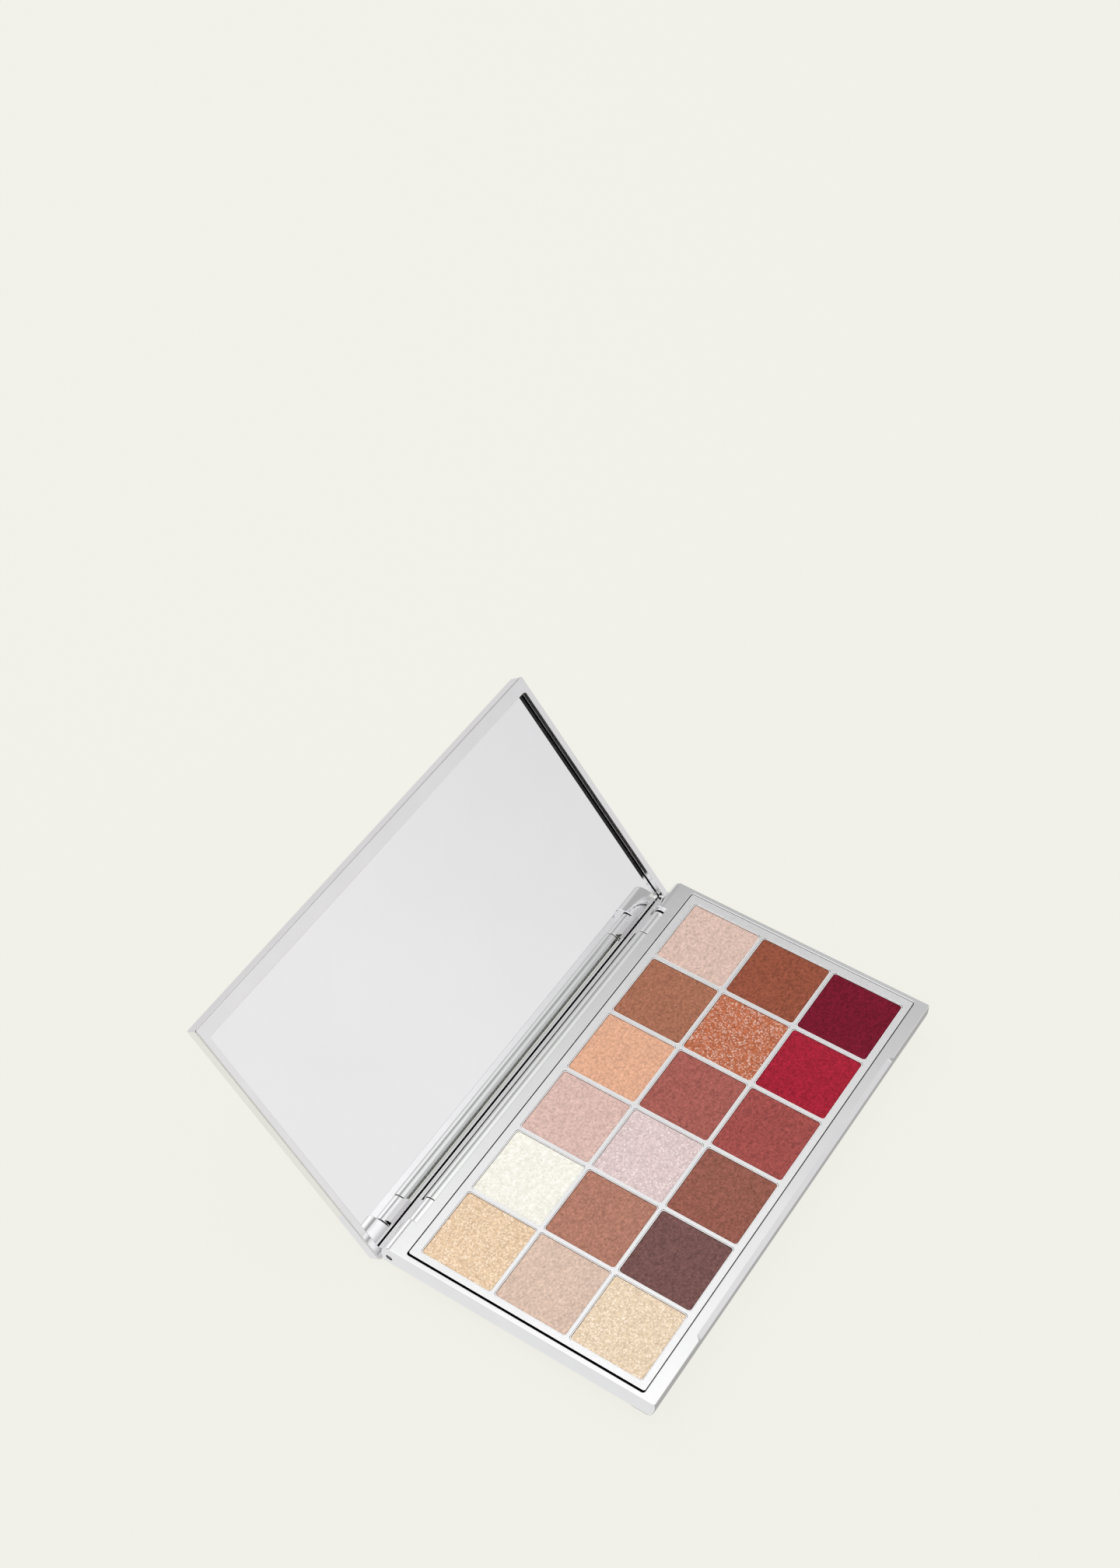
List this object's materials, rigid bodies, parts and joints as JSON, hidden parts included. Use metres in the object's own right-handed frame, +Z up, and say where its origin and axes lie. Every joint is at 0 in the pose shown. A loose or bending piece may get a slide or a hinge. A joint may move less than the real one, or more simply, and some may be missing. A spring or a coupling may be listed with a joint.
{
  "type": "eyeshadow palette",
  "caption": "Slim rectangular silver eyeshadow palette with a grid of square pressed powders in an inset tray and a full-size mirrored lid on a rear pin hinge.",
  "frame": {"origin": "middle of the flat underside of the base, under the hinge-parallel centre line", "axes": "+X along the hinge and the long side, -Y the opening side, +Z up out of the powders"},
  "size_m": [0.1428, 0.1369, 0.0678],
  "materials": {
    "shell_metal": "bright satin silver, softly polished",
    "tray_finish": "metallised silver-grey insert, fine satin",
    "hinge_chrome": "polished chrome",
    "pan_metal": "plain pressed tinplate or aluminium",
    "mirror_glass": "silvered flat mirror",
    "pin_steel": "plain steel pin",
    "magnet": "nickel-plated magnet",
    "adhesive": "double-sided adhesive film",
    "powder_gold": "pressed powder, coarse golden shimmer",
    "powder_ivory": "pressed powder, matte, very fine grain",
    "powder_mauve": "pressed powder, matte, very fine grain",
    "powder_peach": "pressed powder, matte, very fine grain",
    "powder_umber": "pressed powder, matte, very fine grain",
    "powder_blush": "pressed powder, matte, very fine grain",
    "powder_beige": "pressed powder, matte, very fine grain",
    "powder_sienna": "pressed powder, matte, very fine grain",
    "powder_silver_pink": "pressed powder, fine silver-pink shimmer",
    "powder_terracotta": "pressed powder, matte, very fine grain",
    "powder_copper": "pressed powder, metallic copper shimmer",
    "powder_chestnut": "pressed powder, matte, very fine grain",
    "powder_champagne": "pressed powder, coarse champagne shimmer",
    "powder_plum": "pressed powder, matte, very fine grain",
    "powder_cocoa": "pressed powder, matte, very fine grain",
    "powder_brick": "pressed powder, matte, very fine grain",
    "powder_crimson": "pressed powder, matte, very fine grain",
    "powder_burgundy": "pressed powder, matte, very fine grain"
  },
  "bodies": {
    "base": {"base_shell": "shell_metal", "tray_adhesive": "adhesive", "pan_tray": "tray_finish", "hinge_barrel": "hinge_chrome", "hinge_pin_left": "pin_steel", "hinge_pin_right": "pin_steel", "base_magnet_left": "magnet", "base_magnet_right": "magnet", "pan_r1c1": "pan_metal", "powder_r1c1_gold": "powder_gold", "pan_r1c2": "pan_metal", "powder_r1c2_ivory": "powder_ivory", "pan_r1c3": "pan_metal", "powder_r1c3_mauve": "powder_mauve", "pan_r1c4": "pan_metal", "powder_r1c4_peach": "powder_peach", "pan_r1c5": "pan_metal", "powder_r1c5_umber": "powder_umber", "pan_r1c6": "pan_metal", "powder_r1c6_blush": "powder_blush", "pan_r2c1": "pan_metal", "powder_r2c1_beige": "powder_beige", "pan_r2c2": "pan_metal", "powder_r2c2_sienna": "powder_sienna", "pan_r2c3": "pan_metal", "powder_r2c3_silver_pink": "powder_silver_pink", "pan_r2c4": "pan_metal", "powder_r2c4_terracotta": "powder_terracotta", "pan_r2c5": "pan_metal", "powder_r2c5_copper": "powder_copper", "pan_r2c6": "pan_metal", "powder_r2c6_chestnut": "powder_chestnut", "pan_r3c1": "pan_metal", "powder_r3c1_champagne": "powder_champagne", "pan_r3c2": "pan_metal", "powder_r3c2_plum": "powder_plum", "pan_r3c3": "pan_metal", "powder_r3c3_cocoa": "powder_cocoa", "pan_r3c4": "pan_metal", "powder_r3c4_brick": "powder_brick", "pan_r3c5": "pan_metal", "powder_r3c5_crimson": "powder_crimson", "pan_r3c6": "pan_metal", "powder_r3c6_burgundy": "powder_burgundy"},
    "lid": {"lid_frame": "shell_metal", "lid_cover": "shell_metal", "mirror": "mirror_glass", "mirror_adhesive": "adhesive", "lid_magnet_left": "magnet", "lid_magnet_right": "magnet"}
  },
  "joints": [
    {"name": "lid_hinge", "type": "hinge", "parent": "base", "child": "lid", "pos_m": [0, 0.0389, 0.0074], "axis": [1, 0, 0], "range_deg": [0, 127.8]}
  ]
}
